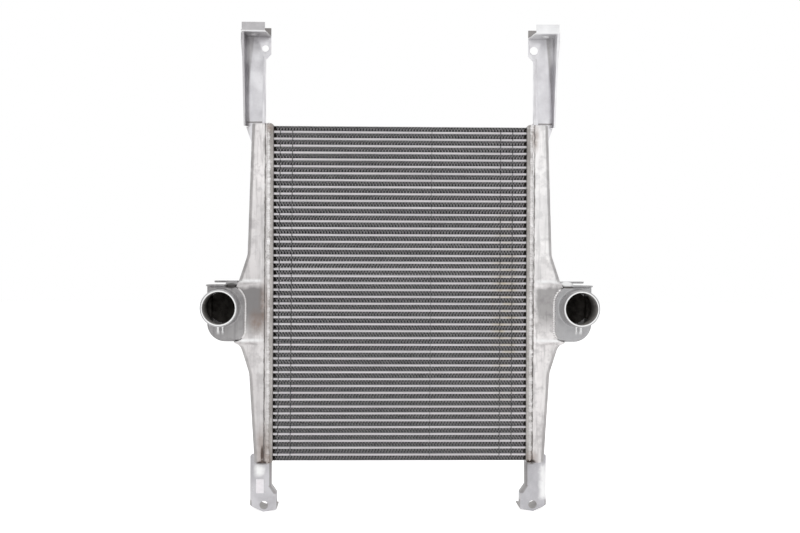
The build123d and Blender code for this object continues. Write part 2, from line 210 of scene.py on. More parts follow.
castFinish = {
    "tankColor": (0.97, 0.94, 0.935), "tankDullAndShade": (0.52, 0.5, 0.5), "elbowColor": (0.4, 0.39, 0.392),
    "elbowDull": (0.27, 0.262, 0.265), "neckShade": (0.235, 0.226, 0.226), "brightMetalAndHighlight": (0.93, 0.93, 0.93),
    "sleeve": (0.52, 0.52, 0.53), "bore": (0.62, 0.6, 0.58), "dark": (0.13, 0.121, 0.112),
    "warmTint": (0.24, 0.16, 0.12), "soot": (0.13, 0.12, 0.115), "grainScale": 900.0, "grainDepth": 0.0002,
    "roughness": 0.46, "metallic": 0.82, "wear": 0.0025,
    # the neck's painted shade by distance from the middle and height, the ridges' painted highlights by height, the
    # ribs' painted highlights by place and half width
    "neckAcross": (0.352, 0.42), "neckHeight": (0.452, 0.575), "ridges": ((0.586, 0.594), (0.434, 0.441)),
    "ribs": ((0.4545, 0.0025), (0.466, 0.0035)), "ribHeight": (0.455, 0.492),
    # centre, half size, strength, color: painted shade below the left boss's disc, a painted highlight on the right
    # disc and painted shade below it
    "bossShadeAndHighlight": [((-0.4338, -0.08, 0.5775), (0.018, 0.09, 0.008), 2.2, (0.075, 0.07, 0.068)),
                  ((0.4325, -0.072, 0.585), (0.019, 0.09, 0.0075), 1.6, (0.93, 0.93, 0.93)),
                  ((0.4325, -0.08, 0.5755), (0.019, 0.09, 0.0035), 1.4, (0.13, 0.12, 0.115))],
}

# where the heat of welding browned the metal: centre and half size
heatMarks = [
    ((-0.35, -0.07, 0.15), (0.026, 0.05, 0.085)),
    ((-0.344, -0.07, 0.13), (0.022, 0.05, 0.034)),
    ((0.342, -0.07, 0.13), (0.02, 0.05, 0.03)),
    ((0.349, -0.07, 0.96), (0.013, 0.05, 0.045)),
    ((-0.35, -0.07, 0.52), (0.016, 0.05, 0.09)),
    ((-0.368, -0.08, 0.486), (0.026, 0.05, 0.04)),
    ((-0.338, -0.07, 0.985), (0.012, 0.05, 0.022)),
]


def heatTint(place, color, strength):
    total = None
    for centre, size in heatMarks:
        mark = spot(place, centre, size)
        total = mark if total is None else math2("MAXIMUM", total, mark)
    return paint(color, castFinish["warmTint"], total, blotch(place, 60.0, 0.3, 0.7, 0.3, 1.0), strength)


# the header welds' middle lines and the dark lines beside them: X at the bottom and at the top, and half width
weldLines = {"left": {"middle": (0.3405, 0.34), "toe": (0.3492, 0.3482), "half": 0.0017},
             "right": {"middle": (0.337, 0.34), "toe": (0.343, 0.3473), "half": 0.0015}}
# soot and painted shade where the welding ends at the tanks' feet: centre, half size, color
footShadeAndSoot = [((0.339, -0.075, 0.1225), (0.016, 0.06, 0.011), (0.045, 0.035, 0.03)),
            ((-0.353, -0.075, 0.122), (0.02, 0.06, 0.006), (0.06, 0.045, 0.04)),
            ((-0.3535, -0.075, 0.142), (0.005, 0.06, 0.03), (0.11, 0.085, 0.075))]


def toeShadeAndSoot(place, color, strength):
    # painted shade and soot in the dark line that runs beside the header weld, on the tank's side
    parts = split(place)
    across = math2("ABSOLUTE", parts[0])
    wander = blotch(place, 70.0, 0.3, 0.7, -0.0008, 0.0008)
    for side, reach in (("left", (0.05, -0.05)), ("right", (-0.05, 0.05))):
        look = weldLines[side]
        middle = remap(parts[2], 0.25, 0.85, *look["toe"])
        away = math2("ABSOLUTE", minus(plus(across, wander), middle))
        color = paint(color, castFinish["soot"], remap(away, look["half"] + 0.0007, look["half"] - 0.0005),
                      remap(parts[0], *reach), blotch(place, 38.0, 0.3, 0.52, 0.45, 1.0), strength)
    for centre, size, tint in footShadeAndSoot:
        color = paint(color, tint, spot(place, centre, size), blotch(place, 110.0, 0.32, 0.5, 0.35, 1.0), 1.8)
    return color


def edgeWear(place, radius, spread):
    # 1 along worn edges, from how far a rounded normal leaves the flat one
    flat = addNode("ShaderNodeNewGeometry").outputs["Normal"]
    same = addNode("ShaderNodeVectorMath", {0: rounded(radius), 1: flat}, operation="DOT_PRODUCT").outputs["Value"]
    worn = remap(same, 0.995, 0.88)
    return product(worn, blotch(place, 90.0, 0.35, 0.6, 1 - spread, 1.0))


def castBody(place, color, dull):
    body = paint(color, dull, blotch(place, 9.0, 0.44, 0.66, 0.0, 0.6))
    drips = noise(stretched(place, (110.0, 110.0, 9.0)), 1.0, 4.0, 0.62)
    body = paint(body, dull, remap(drips, 0.5, 0.66, 0.0, 0.8))
    body = paint(body, dull, blotch(place, 38.0, 0.5, 0.64, 0.0, 0.7))
    rubbed = blotch(place, 26.0, 0.6, 0.72, 0.0, 0.45)
    return paint(body, castFinish["brightMetalAndHighlight"], rubbed)


def castGrain(place, shader):
    grain = plus(noise(place, castFinish["grainScale"], 2.0), noise(place, 150.0, 2.0))
    grain = plus(grain, product(noise(place, 42.0, 2.0), 3.0))
    setInputs(shader, {"Normal": bump(grain, castFinish["grainDepth"], 0.7, rounded(0.0015)),
                       "Metallic": castFinish["metallic"]})


def tankMaterial():
    look = castFinish
    material, shader, place = newFinish("tankCast", look["tankColor"])
    across, _, height = sides(place)
    body = castBody(place, look["tankColor"], look["tankDullAndShade"])
    # painted shade: the left casting is darker, most of all around the neck
    left = remap(split(place)[0], 0.05, -0.05)
    middle = product(zone(height, 0.46, 0.64, 0.1), 0.6)
    body = paint(body, look["tankDullAndShade"], left, plus(middle, 0.2))
    # painted highlight on the upper part of the right casting
    upperRightHighlight = product(remap(left, 1.0, 0.0), remap(height, 0.5, 0.75), 0.4)
    body = paint(body, look["brightMetalAndHighlight"], upperRightHighlight)
    # darker towards the bottom, the left casting more
    low = remap(height, 0.46, 0.14, 0.12, 0.62)
    low = product(low, remap(height, 0.5, 0.46), remap(left, 0.0, 1.0, 0.75, 1.0))
    body = paint(body, look["tankDullAndShade"], low)
    # painted shade on the neck towards the elbow, lighter below, between two bright ridges
    waver = blotch(place, 30.0, 0.3, 0.7, -0.005, 0.005)
    neck = product(zone(plus(across, waver), *look["neckAcross"], 0.006),
                   zone(plus(height, waver), *look["neckHeight"], 0.006))
    fade = remap(plus(height, waver), 0.455, 0.505, 0.25, 0.9)
    fade = product(fade, remap(left, 0.0, 1.0, 0.84, 1.05))
    body = paint(body, look["neckShade"], neck, fade)
    # painted highlights along the two ridges
    for low, high in look["ridges"]:
        ridge = product(zone(height, low, high, 0.003), zone(across, 0.352, 0.412, 0.008))
        body = paint(body, look["brightMetalAndHighlight"], ridge, blotch(place, 80.0, 0.3, 0.6, 0.4, 1.0))
    body = heatTint(place, body, 0.75)
    body = toeShadeAndSoot(place, body, 0.9)
    body = paint(body, look["brightMetalAndHighlight"], edgeWear(place, look["wear"], 0.6), 0.6)
    # painted shade where the skin rolls over to the outer side
    facing = addNode("ShaderNodeNewGeometry").outputs["Normal"]
    outward = math2("ABSOLUTE", split(facing)[0])
    body = paint(body, look["neckShade"], remap(outward, 0.3, 0.75, 0.0, 0.62), remap(across, 0.362, 0.368),
                 blotch(place, 30.0, 0.3, 0.7, 0.65, 1.0))
    rough = blotch(place, 12.0, 0.35, 0.68, look["roughness"] - 0.08, look["roughness"] + 0.08)
    setInputs(shader, {"Base Color": body, "Roughness": rough})
    castGrain(place, shader)
    return material


def elbowMaterial():
    look = castFinish
    material, shader, place = newFinish("elbowCast", look["elbowColor"])
    across, depth, height = sides(place)
    body = castBody(place, look["elbowColor"], look["elbowDull"])
    # painted highlight: the right elbow is lighter than the left
    right = remap(split(place)[0], -0.05, 0.05, 0.0, 0.85)
    body = paint(body, look["sleeve"], right, blotch(place, 24.0, 0.3, 0.7, 0.4, 1.0))
    # painted highlights on the two ribs under the stub
    for offset, width in look["ribs"]:
        rib = product(zone(across, offset - width, offset + width, 0.0008), zone(height, *look["ribHeight"], 0.004),
                      remap(depth, -0.08, -0.083))
        body = paint(body, look["brightMetalAndHighlight"], rib, 0.8)
    body = paint(body, look["brightMetalAndHighlight"], edgeWear(place, look["wear"], 0.5), 0.7)
    # the turned stub: bright lip, grey chamfer, fine tool lines on the sleeve
    front, collar = stub["front"], stub["collar"]
    reach = length(output("ShaderNodeCombineXYZ", {0: minus(across, stub["x"]), 2: minus(height, stub["z"])}))
    within = remap(reach, stub["sleeve"] + 0.0005, stub["sleeve"])
    turned = product(within, remap(depth, collar + 0.0012, collar - 0.0002))
    tooling = noise(stretched(place, (6.0, 1500.0, 6.0)), 1.0, 2.0)
    sleeve = paint(look["sleeve"], look["elbowColor"], remap(tooling, 0.35, 0.65))
    body = paint(body, sleeve, turned)
    body = paint(body, look["brightMetalAndHighlight"], remap(depth, front + 0.0016, front + 0.0008),
                 remap(reach, stub["face"] + 0.0006, stub["face"]))
    body = paint(body, look["brightMetalAndHighlight"], zone(depth, collar - 0.0016, collar + 0.0012, 0.0004), within, 0.7)
    # painted shade below the boss discs, and a painted highlight on the right one
    for centre, size, strength, tint in look["bossShadeAndHighlight"]:
        body = paint(body, tint, spot(place, centre, size), strength)
    rough = blotch(place, 12.0, 0.35, 0.68, look["roughness"] - 0.06, look["roughness"] + 0.08)
    setInputs(shader, {"Base Color": body, "Roughness": minus(rough, product(turned, 0.14))})
    castGrain(place, shader)
    return material


def boreMaterial():
    # the bore's cast wall, grey where daylight reaches it and darker further in
    look = castFinish
    material, shader, place = newFinish("boreWall", look["bore"])
    lit = remap(split(place)[1], stub["front"] + stub["litDepth"], stub["front"] + 0.006)
    lit = product(lit, blotch(place, 90.0, 0.3, 0.65, 0.65, 1.0))
    setInputs(shader, {"Base Color": paint(look["dark"], look["bore"], lit), "Roughness": 0.8,
                       "Specular IOR Level": 0.2, "Normal": bump(noise(place, 400.0, 3.0), 0.0003, 0.8)})
    return material


sheetFinish = {
    "metallic": 0.95, "roughness": 0.38, "brushScale": (260.0, 260.0, 7.0), "brushDepth": 0.00006,
    "wearAndHighlight": (0.92, 0.92, 0.92), "paintedShade": (0.16, 0.145, 0.135),
}


def rolledSheet(name, color, dull, brushScale=None, shadeZones=(), highlightZones=(), shades=()):
    # the zone lists: where shade and highlights are painted, as ranges of distance from the middle, depth and height,
    # then fade and strength
    # shades: painted shade beside a slanted edge, given by two points as height and distance from the middle, then
    # side and strength
    look = sheetFinish
    material, shader, place = newFinish(name, color)
    across, depth, height = sides(place)
    lines = noise(stretched(place, brushScale or look["brushScale"]), 4.0, 3.0, 0.6)
    stains = blotch(place, 14.0, 0.38, 0.66)
    body = paint(color, dull, stains)
    body = paint(body, dull, remap(lines, 0.3, 0.75, 0.0, 0.4))
    body = paint(body, dull, blotch(place, 75.0, 0.58, 0.7, 0.0, 0.4))
    scratch = remap(noise(stretched(place, (30.0, 90.0, 420.0)), 3.0, 1.0), 0.68, 0.73)
    body = paint(body, look["wearAndHighlight"], scratch, 0.6)
    body = paint(body, look["wearAndHighlight"], edgeWear(place, 0.001, 0.7), 0.5)
    for (low, near), (high, far), way, strength in shades:
        away = product(minus(across, remap(height, low, high, near, far)), way)
        body = paint(body, look["paintedShade"], remap(away, -0.0015, 0.0015), zone(height, low, high, 0.001),
                     remap(depth, -0.012, -0.003), blotch(place, 60.0, 0.2, 0.6, 0.7, 1.0), strength)
    for zones, tint in ((highlightZones, look["wearAndHighlight"]), (shadeZones, look["paintedShade"])):
        for reach, deep, level, fade, strength in zones:
            waver = blotch(place, 55.0, 0.3, 0.7, -fade * 0.6, fade * 0.6)
            limits = zip((across, depth, height), (reach, deep, level))
            body = paint(body, tint, strength, *[zone(plus(value, waver), *limit, fade) for value, limit in limits])
    rough = remap(stains, 0, 1, look["roughness"] - 0.06, look["roughness"] + 0.12)
    finishMetal(shader, look, body, bump(lines, look["brushDepth"], 0.7, rounded(0.0008)), rough)
    return material


headerFinish = {
    "color": (0.54, 0.515, 0.498), "dull": (0.35, 0.327, 0.313), "pit": (0.22, 0.21, 0.2),
    "metallic": 0.75, "roughness": 0.48, "shadeDepth": 0.0003,
}


def headerMaterial():
    look = headerFinish
    material, shader, place = newFinish("headerSheet", look["color"])
    runs = remap(noise(stretched(place, (60.0, 20.0, 14.0)), 1.0, 4.0, 0.6), 0.35, 0.65)
    body = paint(look["color"], look["dull"], runs)
    body = paint(body, look["pit"], blotch(place, 300.0, 0.58, 0.7, 0.0, 0.6))
    body = paint(body, castFinish["brightMetalAndHighlight"], blotch(place, 48.0, 0.6, 0.75, 0.0, 0.5))
    body = heatTint(place, body, 0.8)
    body = toeShadeAndSoot(place, body, 0.75)
    finishMetal(shader, look, body, bump(noise(place, 500.0, 3.0), 0.00015, 0.8, rounded(0.0012)))
    return material


def shadeMaterial():
    # painted shade: a near-black finish for places that no light reaches
    material, shader, place = newFinish("innerShade", castFinish["dark"])
    body = paint(castFinish["dark"], (0.045, 0.04, 0.036), blotch(place, 60.0, 0.35, 0.65))
    setInputs(shader, {"Base Color": body, "Roughness": 1.0, "Specular IOR Level": 0.0,
                       "Normal": bump(noise(place, 300.0, 3.0), 0.0002, 0.6)})
    return material


weldFinish = {
    "bright": (0.97, 0.95, 0.95), "dull": (0.56, 0.54, 0.53), "soot": (0.08, 0.065, 0.06), "metallic": 0.7,
}


def weldMaterial(name, sootShare, contrast):
    look = weldFinish
    material, shader, place = newFinish(name, look["bright"])
    swell = addNode("ShaderNodeAttribute", attribute_name="swell", attribute_type="GEOMETRY").outputs["Fac"]
    lumps = remap(swell, 0.5 + contrast, 0.5 - contrast)  # painted shade in the low places, painted highlight on the crests
    body = paint(look["bright"], look["dull"], lumps)
    soot = blotch(place, 65.0, 0.66 - sootShare, 0.8 - sootShare)
    body = paint(body, look["soot"], soot, remap(lumps, 0.2, 0.9, 0.3, 1.0), 0.85)
    body = paint(body, look["soot"], blotch(place, 320.0, 0.6, 0.72, 0.0, 0.6))
    height = split(place)[2]
    low = product(remap(height, 0.46, 0.16, 0.0, 0.65), remap(height, 0.118, 0.124), sootShare * 10)
    body = paint(body, look["dull"], low, blotch(place, 130.0, 0.35, 0.6, 0.45, 1.0))
    body = heatTint(place, body, 0.7)
    rough = remap(lumps, 0, 1, 0.22, 0.5)
    finishMetal(shader, look, body, bump(noise(place, 600.0, 3.0), 0.0003, 0.8), rough)
    return material


tubeFinish = {
    "color": (0.7, 0.68, 0.695), "dull": (0.52, 0.505, 0.52), "stain": (0.5, 0.44, 0.32),
    "mark": (0.02, 0.02, 0.02), "fleck": (0.24, 0.24, 0.24), "metallic": 0.8, "roughness": 0.38,
    "stainPlace": (0.272, -0.066, 0.52), "stainSize": (0.045, 0.05, 0.3),
    # dark bands of the straps that held the core: X at the core's top and bottom, strength, half width
    "straps": [(-0.3099, -0.3145, 0.85, 0.0013), (-0.2785, -0.2824, 0.85, 0.0013),
               (0.0809, 0.0769, 0.4, 0.0012), (0.2594, 0.2574, 0.85, 0.0013), (0.2906, 0.2885, 0.85, 0.0013)],
    "top": 0.98, "bottom": 0.142,
}


def tubeMaterial():
    look = tubeFinish
    material, shader, place = newFinish("tubeSkin", look["color"])
    along, _, height = split(place)
    drawn = remap(noise(stretched(place, (3.0, 160.0, 160.0)), 2.0, 3.0, 0.6), 0.32, 0.68)
    body = paint(look["color"], look["dull"], drawn)
    row = math2("FLOOR", math2("DIVIDE", height, tubePitch))
    each = output("ShaderNodeTexWhiteNoise", {"W": row}, noise_dimensions="1D")
    body = paint(body, look["dull"], remap(each, 0, 1, 0.0, 0.35))
    stain = spot(place, look["stainPlace"], look["stainSize"])
    body = paint(body, look["stain"], stain, blotch(place, 35.0, 0.35, 0.65), 0.8)
    for high, low, strength, width in look["straps"]:
        line = remap(height, look["bottom"], look["top"], low, high)
        away = math2("ABSOLUTE", minus(along, line))
        band = remap(away, width + 0.0004, width - 0.0004)
        body = paint(body, look["mark"], band, blotch(place, 95.0, 0.32, 0.48), strength)
    body = paint(body, look["fleck"], blotch(place, 210.0, 0.64, 0.74, 0.0, 0.6))
    finishMetal(shader, look, body, bump(drawn, 0.0001, 0.6))
    return material


finFinish = {
    "edge": (0.9, 0.87, 0.89), "deep": (0.024, 0.022, 0.024), "dust": (0.3, 0.29, 0.3), "metallic": 0.3,
    "roughness": 0.5, "louvres": 110.0,
    "front": 0.0288, "middle": 0.0262,  # distance from the core's middle plane where the painted shade deep in the core gives way to the bright front edges
}


def finMaterial():
    look = finFinish
    material, shader, place = newFinish("finStrip", look["edge"])
    # painted shade: the fins darken towards the middle of the core, away from the front and rear
    away = math2("ABSOLUTE", minus(split(place)[1], coreMiddle))
    body = paint(look["deep"], look["edge"], remap(away, look["middle"], look["front"]))
    body = paint(body, look["dust"], blotch(place, 40.0, 0.35, 0.7, 0.0, 0.35))
    louvres = addNode("ShaderNodeTexWave", {"Vector": place, "Scale": look["louvres"], "Distortion": 0.0},
                      bands_direction="Y").outputs["Fac"]
    finishMetal(shader, look, body, bump(louvres, 0.0003, 0.6))
    return material


filmFinish = {
    "flat": (0.95, 0.93, 0.96), "color": (0.98, 0.95, 0.98), "dull": (0.88, 0.85, 0.88),
    "speck": (0.78, 0.75, 0.78), "metallic": 0.6, "roughness": 0.45,
}


def labelMaterial():
    # a bare label of white metallised film
    look = filmFinish
    material, shader, place = newFinish("labelFilm", look["flat"])
    body = paint(look["color"], look["dull"], blotch(place, 90.0, 0.4, 0.7))
    body = paint(body, look["speck"], blotch(place, 700.0, 0.5, 0.8, 0.0, 0.2))
    finishMetal(shader, look, body, bump(blotch(place, 90.0, 0.3, 0.7), 0.0002, 0.4))
    return material


tankCast, elbowCast, headerPlate = tankMaterial(), elbowMaterial(), headerMaterial()
# painted shade along the brackets' bend lines and joints to the tanks; painted highlights on the lower ones' outer
# bends
anyDepth = (-1.0, 1.0)
# painted shade at the seam with the tank and on the left outer flange; painted highlights on the right outer flange
# and, on the left, on the bend between web and flange
upperJoint = ((0.349, 0.402), (-0.006, 0.01), (1.0045, 1.0085), 0.001, 0.75)
leftFlange = ((0.396, 0.43), (-0.08, 0.004), (0.94, 1.24), 0.002, 0.32)
rightFlange = ((0.396, 0.43), (-0.08, -0.01), (0.94, 1.24), 0.004, 0.35)
bendHighlight = ((0.4015, 0.43), (-0.01, 0.004), (0.94, 1.24), 0.001, 1.0)
upperPlate = {
    "left": rolledSheet("upperBracketPlateLeft", (0.8, 0.795, 0.815), (0.63, 0.62, 0.645), None,
                        [upperJoint, leftFlange], [bendHighlight], [((1.01, 0.4075), (1.234, 0.3838), 1, 0.34)]),
    "right": rolledSheet("upperBracketPlateRight", (0.85, 0.845, 0.865), (0.68, 0.67, 0.695), None,
                         [upperJoint], [rightFlange], [((1.01, 0.406), (1.238, 0.3865), 1, 0.52)])}
# painted shade on the shelf seen behind the bolt hole, and along the inner edge and its shoulder
shelfShade = ((0.31, 0.4), (0.0045, 0.095), (-0.02, 0.012), 0.0015, 0.85)
innerEdge = ((0.335, 0.3405), (-0.002, 0.09), (0.05, 0.112), 0.0006, 0.6)
innerShoulder = ((0.03, 0.329), (0.051, 0.343), -1, 0.6)
lowerPlate = {
    "left": rolledSheet("lowerBracketPlateLeft", (0.62, 0.61, 0.635), (0.5, 0.49, 0.51), None,
                        [((0.346, 0.374), anyDepth, (0.108, 0.111), 0.0018, 1.0), shelfShade, innerEdge],
                        [((0.356, 0.377), anyDepth, (0.078, 0.104), 0.006, 1.0)], [innerShoulder]),
    "right": rolledSheet("lowerBracketPlateRight", (0.55, 0.542, 0.565), (0.44, 0.434, 0.455), None,
                         [((0.341, 0.357), anyDepth, (0.1075, 0.1115), 0.0024, 1.0), shelfShade, innerEdge],
                         [((0.374, 0.3935), anyDepth, (0.016, 0.104), 0.006, 0.9)], [innerShoulder])}
# painted shade inside the trays and under their rear
trayShade = [((0.33, 0.364), (-0.045, 0.01), (1.2345, 1.26), 0.002, 0.75),
             ((0.33, 0.42), (-0.066, 0.01), (1.227, 1.232), 0.0012, 0.3)]
# a painted highlight along the lower edge of the left tray's front
trayHighlight = [((0.33, 0.42), (-0.08, -0.066), (1.227, 1.2335), 0.0008, 0.9)]
acrossBrush = (7.0, 220.0, 220.0)
# painted shade on the left tray and a painted highlight on the right one, as darker and lighter copies of one plate
trayPlate = {
    "left": rolledSheet("trayPlateLeft", (0.6, 0.59, 0.6), (0.46, 0.45, 0.46), acrossBrush, trayShade, trayHighlight),
    "right": rolledSheet("trayPlateRight", (0.95, 0.95, 0.96), (0.8, 0.8, 0.81), acrossBrush, trayShade)}
sidePlate = rolledSheet("sidePlate", (0.6, 0.6, 0.6), (0.48, 0.48, 0.48), acrossBrush)
headerWeldMetal = weldMaterial("headerWeldMetal", 0.1, 0.34)
cleanWeldMetal = weldMaterial("cleanWeldMetal", 0.0, 0.18)
tubeMetal, finMetal, labelFilm = tubeMaterial(), finMaterial(), labelMaterial()
innerShade, boreWall = shadeMaterial(), boreMaterial()
print("materials built")

nodeFinish = {
    "side_sheet_top": sidePlate, "side_sheet_bottom": sidePlate, "charge_tubes": tubeMetal, "air_fins": finMetal,
}
for side in ("left", "right"):
    nodeFinish |= {"header_plate_" + side: headerPlate, "tank_" + side: tankCast, "elbow_" + side: elbowCast,
                   "header_weld_" + side: headerWeldMetal, "elbow_weld_" + side: cleanWeldMetal,
                   "upper_weld_" + side: cleanWeldMetal, "lower_weld_" + side: cleanWeldMetal,
                   "upper_bracket_" + side: upperPlate[side], "upper_tray_" + side: trayPlate[side],
                   "lower_bracket_" + side: lowerPlate[side]}
for nodeName, finish in nodeFinish.items():
    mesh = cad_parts[nodeName].data
    mesh.materials.clear()
    mesh.materials.append(finish)


# Geometry Nodes

def newTree(name, **inputs):
    # inputs: the names of the inputs of each type; geometry and material are always there
    tree = working["tree"] = bpy.data.node_groups.new(name, "GeometryNodeTree")
    for kind, labels in {"Geometry": ["Geometry"], **inputs, "Material": ["Material"]}.items():
        for label in labels:
            tree.interface.new_socket(label, in_out="INPUT", socket_type="NodeSocket" + kind)
    tree.interface.new_socket("Geometry", in_out="OUTPUT", socket_type="NodeSocketGeometry")
    return addNode("NodeGroupInput").outputs


def vector(x, y, z):
    return output("ShaderNodeCombineXYZ", {0: x, 1: y, 2: z})


def geo(kind, values=None, **settings):
    return output("GeometryNode" + kind, values, **settings)


def endTree(given, geometry):
    # every tree ends by giving its geometry a material
    done = geo("SetMaterial", {"Geometry": geometry, "Material": given["Material"]})
    addNode("NodeGroupOutput", {0: done})
    return working["tree"]


def joined(*halves):
    both = addNode("GeometryNodeJoinGeometry")
    for half in halves:
        setInputs(both, {0: half})
    return both.outputs[0]


def closedShell(face, grown):
    # a face and what was extruded from it, as one closed body
    both = joined(grown, geo("FlipFaces", {"Mesh": face}))
    return geo("MergeByDistance", {"Geometry": both, "Distance": mergeDistance})


def applied(thing):
    # the object's mesh with its modifiers carried out
    graph = bpy.context.evaluated_depsgraph_get()
    return bpy.data.meshes.new_from_object(thing.evaluated_get(graph), depsgraph=graph)


def stacked(given, count, form, scatter=None):
    # copies of a form one pitch apart, upwards from the start
    points = geo("MeshLine", {"Count": given[count], "Start Location": given["Start"],
                              "Offset": vector(0.0, 0.0, given["Pitch"])})
    if scatter is not None:
        points = geo("SetPosition", {"Geometry": points, "Offset": scatter})
    return geo("RealizeInstances", {0: geo("InstanceOnPoints", {"Points": points, "Instance": form})})


def bake(name, tree, values, base=None, body="root"):
    # runs a tree on an object, keeps the result as a plain mesh, and makes it ride
    base = base or addObject(name + "Base", bpy.data.meshes.new(name + "Base"))
    modifier = base.modifiers.new("build", "NODES")
    modifier.node_group = tree
    for item in tree.interface.items_tree:
        if item.in_out == "INPUT" and item.name in values:
            modifier[item.identifier] = values[item.name]
    mesh = applied(base)
    mesh.name = name
    bpy.data.objects.remove(base)
    piece = addObject(name, mesh)
    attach(piece, body)
    return piece


def shadeFaces(mesh, isInside, material):
    # gives the faces whose middle passes the test a finish of their own
    mesh.materials.append(material)
    for face in mesh.polygons:
        if isInside(face.center):
            face.material_index = len(mesh.materials) - 1


tubeBank = {
    "Count": 48, "Pitch": tubePitch, "Height": 0.0072, "Depth": 0.062, "Wall": 0.0009, "Nose": 0.0034, "Flats": 4,
}


def tubeTree():
    given = newTree("tubeBank", Int=["Count", "Flats"], Vector=["Start"], Float=[
        "Pitch", "Length", "Depth", "Height", "Wall", "Nose"])

    def ring(shrink):
        width, height = (minus(given[side], product(shrink, 2.0)) for side in ("Height", "Depth"))
        corners = geo("CurvePrimitiveQuadrilateral", {"Width": width, "Height": height})
        return geo("FilletCurve", {"Curve": corners, "Count": given["Flats"], "Radius": minus(given["Nose"], shrink)},
                   mode="POLY")

    rings = joined(ring(0.0), ring(given["Wall"]))
    face = geo("FillCurve", {"Curve": rings}, mode="TRIANGLES")
    grown = geo("ExtrudeMesh", {"Mesh": face, "Offset": vector(0.0, 0.0, 1.0), "Offset Scale": given["Length"],
                                "Individual": False})
    turned = geo("Transform", {"Geometry": closedShell(face, grown), "Rotation": (0.0, math.pi / 2, 0.0)})
    return endTree(given, stacked(given, "Count", turned))


def buildTubes():
    low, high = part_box("charge_tubes")
    values = {**tubeBank, "Length": high[0] - low[0], "Material": tubeMetal,
              "Start": (low[0], coreMiddle, low[2] + tubeBank["Height"] / 2)}
    piece = bake("tubeBank", tubeTree(), values)
    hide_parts("charge_tubes")
    return piece


tubes = buildTubes()
print("tubes:", len(tubes.data.polygons), "faces")


finBank = {
    "Waves": 84, "Height": 0.0105, "Depth": 0.058, "Crest": 0.0007, "Sweep": 0.0045, "Pitch": tubePitch,
    "Sheet": 0.0008, "Slip": 0.0008, "Waver": 0.0007, "Waver Scale": 90.0, "Seed": 7,
    "rows": {"finsLower": 16, "finsMiddle": 17, "finsUpper": 16},
    "overrun": 0.0052, "shadeFrom": 0.3203,  # the rows run on to the headers, in the dark
}


def finTree():
    given = newTree("finBank", Int=["Rows", "Waves", "Seed"], Vector=["Start"], Float=[
        "Pitch", "Length", "Height", "Depth", "Crest", "Sweep", "Sheet", "Slip", "Waver", "Waver Scale"])
    steps = product(given["Waves"], 4.0)
    grid = geo("MeshGrid", {"Size X": steps, "Size Y": 2.0, "Vertices X": plus(steps, 1.0), "Vertices Y": 4})
    place = split(geo("InputPosition"))
    index = math2("ROUND", plus(place[0], product(steps, 0.5)))
    wave = math2("FLOOR", math2("DIVIDE", index, 4.0))
    corner = minus(index, product(wave, 4.0))
    past = [math2("GREATER_THAN", corner, n + 0.5) for n in range(3)]  # past the first, second, third corner
    span = math2("DIVIDE", given["Length"], given["Waves"])
    leg = minus(product(span, 0.5), given["Crest"])
    x = minus(product(wave, span), product(given["Length"], 0.5))
    for step, share in zip(past, (given["Crest"], leg, given["Crest"])):
        x = plus(x, product(step, share))
    inward = minus(1.0, math2("ABSOLUTE", place[1]))  # the rows inside lean either way
    sway = product(product(inward, 1.5), math2("SIGN", place[1]))
    x = plus(x, product(sway, given["Sweep"]))
    rise = minus(given["Height"], given["Sheet"])
    z = product(minus(past[1], 0.5), rise)
    y = product(place[1], product(given["Depth"], 0.5))
    folded = geo("SetPosition", {"Geometry": grid, "Position": vector(x, y, z)})
    thick = geo("ExtrudeMesh", {"Mesh": folded, "Offset Scale": given["Sheet"], "Individual": False})
    strip = closedShell(folded, thick)
    slip = output("FunctionNodeRandomValue", {"Min": (-1.0, 0.0, 0.0), "Max": (1.0, 0.0, 0.0), "Seed": given["Seed"]},
                  data_type="FLOAT_VECTOR")
    slip = output("ShaderNodeVectorMath", {0: slip, "Scale": given["Slip"]}, operation="SCALE")
    wobble = addNode("ShaderNodeTexNoise", {"Scale": given["Waver Scale"], "Detail": 1.0}).outputs["Fac"]
    wobble = product(minus(wobble, 0.5), given["Waver"])
    rows = stacked(given, "Rows", strip, slip)
    bent = geo("SetPosition", {"Geometry": rows, "Offset": vector(wobble, 0.0, 0.0)})
    return endTree(given, bent)


def buildFins():
    look, (low, high) = finBank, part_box("air_fins")
    tree = finTree()
    slack = look["Slip"] + look["Waver"]
    pieces, first = [], 0
    for name, rows in look["rows"].items():
        values = {**look, "Rows": rows, "Length": high[0] - low[0] + 2 * look["overrun"] - slack,
                  "Start": (0.0, coreMiddle, low[2] + look["Height"] / 2 + first * tubePitch),
                  "Seed": look["Seed"] + first, "Material": finMetal}
        piece = bake(name, tree, values)
        shadeFaces(piece.data, lambda place: abs(place[0]) > look["shadeFrom"], innerShade)
        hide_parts("air_fins")
        pieces.append(piece)
        first += rows
    return pieces


fins = buildFins()
print("fins:", sum(len(piece.data.polygons) for piece in fins), "faces")


